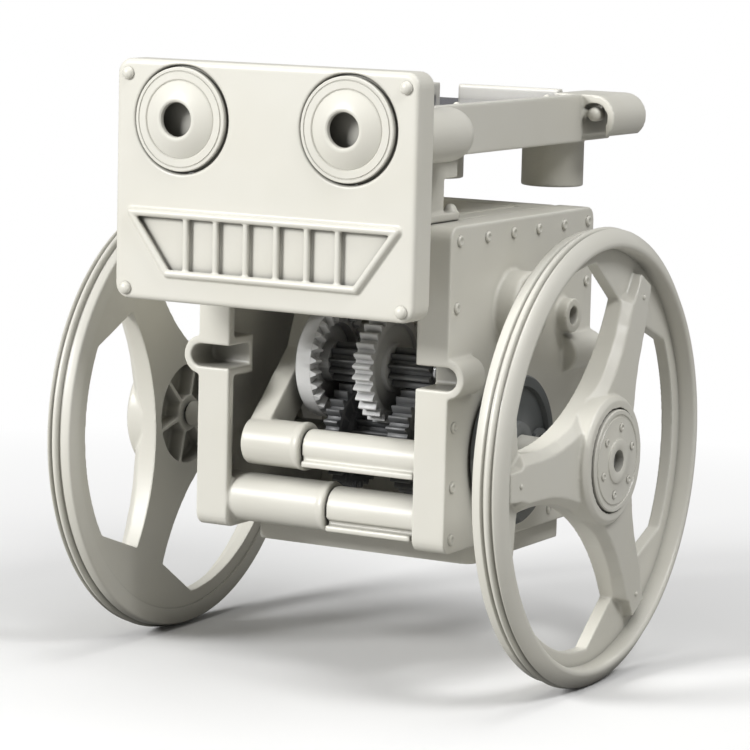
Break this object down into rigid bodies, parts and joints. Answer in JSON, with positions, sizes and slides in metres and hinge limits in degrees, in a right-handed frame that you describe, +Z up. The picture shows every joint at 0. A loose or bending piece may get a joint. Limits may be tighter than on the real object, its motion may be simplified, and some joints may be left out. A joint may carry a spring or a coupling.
{
  "type": "solar robot kit",
  "caption": "Toy two-wheeled solar robot: face plate with round eyes and grille mouth, open gearbox body, spoked drive wheels and a solar panel on a clip frame.",
  "frame": {"origin": "on the floor, in the middle of the robot's box; the middle of the axle is 2.75 mm in front of it and 41 mm up", "axes": "+X to the robot's right wheel as seen from in front, -Y out of its face, +Z up"},
  "size_m": [0.0978, 0.0944, 0.1097],
  "materials": {
    "shell": "satin ivory moulded plastic",
    "gear_white": "satin white moulded plastic",
    "gear_dark": "satin dark grey moulded plastic",
    "disc": "satin grey moulded plastic",
    "steel": "bright drawn steel",
    "motor_can": "pressed plated steel",
    "motor_cap": "black moulded plastic",
    "brass": "tinned brass",
    "solar_cell": "clear resin over dark blue cell",
    "lead_red": "wire insulation",
    "lead_black": "wire insulation"
  },
  "bodies": {
    "chassis": {"right_shell": "shell", "left_shell": "shell", "front_lower_screw": "steel", "rear_lower_screw": "steel", "rear_upper_screw": "steel", "front_upper_screw": "steel", "gear_bracket": "shell", "bracket_screw": "steel", "top_cover": "shell", "bottom_cover": "shell", "gear_shaft": "steel", "shaft_washer": "steel", "bulkhead": "shell", "motor_can": "motor_can", "motor_end_cap": "motor_cap", "motor_tab_left": "brass", "motor_screw_left": "steel", "motor_tab_right": "brass", "motor_screw_right": "steel", "neck_bracket": "shell", "panel_frame": "shell", "solar_cell": "solar_cell", "lead_red": "lead_red", "lead_black": "lead_black", "face_plate": "shell", "left_eye": "shell", "right_eye": "shell", "face_rivet_lower_left": "shell", "face_rivet_lower_right": "shell", "face_rivet_upper_left": "shell", "face_rivet_upper_right": "shell"},
    "wheel_set": {"axle": "steel", "output_gear": "gear_dark", "idler_washer": "steel", "left_wheel": "shell", "left_hub_cap": "shell", "left_drive_disc": "disc", "left_axle_sleeve": "shell", "right_wheel": "shell", "right_hub_cap": "shell", "right_drive_disc": "disc", "right_axle_sleeve": "shell"},
    "second_stage": {"second_gear": "gear_white", "second_pinion": "gear_dark"},
    "idler_stage": {"idler_gear": "gear_dark"},
    "crown_stage": {"crown_gear": "gear_white", "crown_pinion": "gear_dark"},
    "motor_rotor": {"motor_shaft": "steel", "motor_pinion": "gear_white"}
  },
  "joints": [
    {"name": "wheel_drive", "type": "hinge", "parent": "chassis", "child": "wheel_set", "pos_m": [0, -0.00275, 0.041], "axis": [1, 0, 0], "continuous": true},
    {"name": "second_spin", "type": "hinge", "parent": "chassis", "child": "second_stage", "pos_m": [0, -0.00425, 0.05391], "axis": [1, 0, 0], "continuous": true},
    {"name": "idler_spin", "type": "hinge", "parent": "chassis", "child": "idler_stage", "pos_m": [0, -0.00275, 0.041], "axis": [1, 0, 0], "continuous": true},
    {"name": "crown_spin", "type": "hinge", "parent": "chassis", "child": "crown_stage", "pos_m": [0, -0.00425, 0.05391], "axis": [1, 0, 0], "continuous": true},
    {"name": "motor_spin", "type": "hinge", "parent": "chassis", "child": "motor_rotor", "pos_m": [-0.0046, -0.00275, 0.05391], "axis": [0, 1, 0], "continuous": true}
  ],
  "couplings": [
    {"joint": "second_spin", "follows": "wheel_drive", "ratio": -3},
    {"joint": "idler_spin", "follows": "wheel_drive", "ratio": 9},
    {"joint": "crown_spin", "follows": "wheel_drive", "ratio": -27},
    {"joint": "motor_spin", "follows": "wheel_drive", "ratio": -87.75}
  ]
}
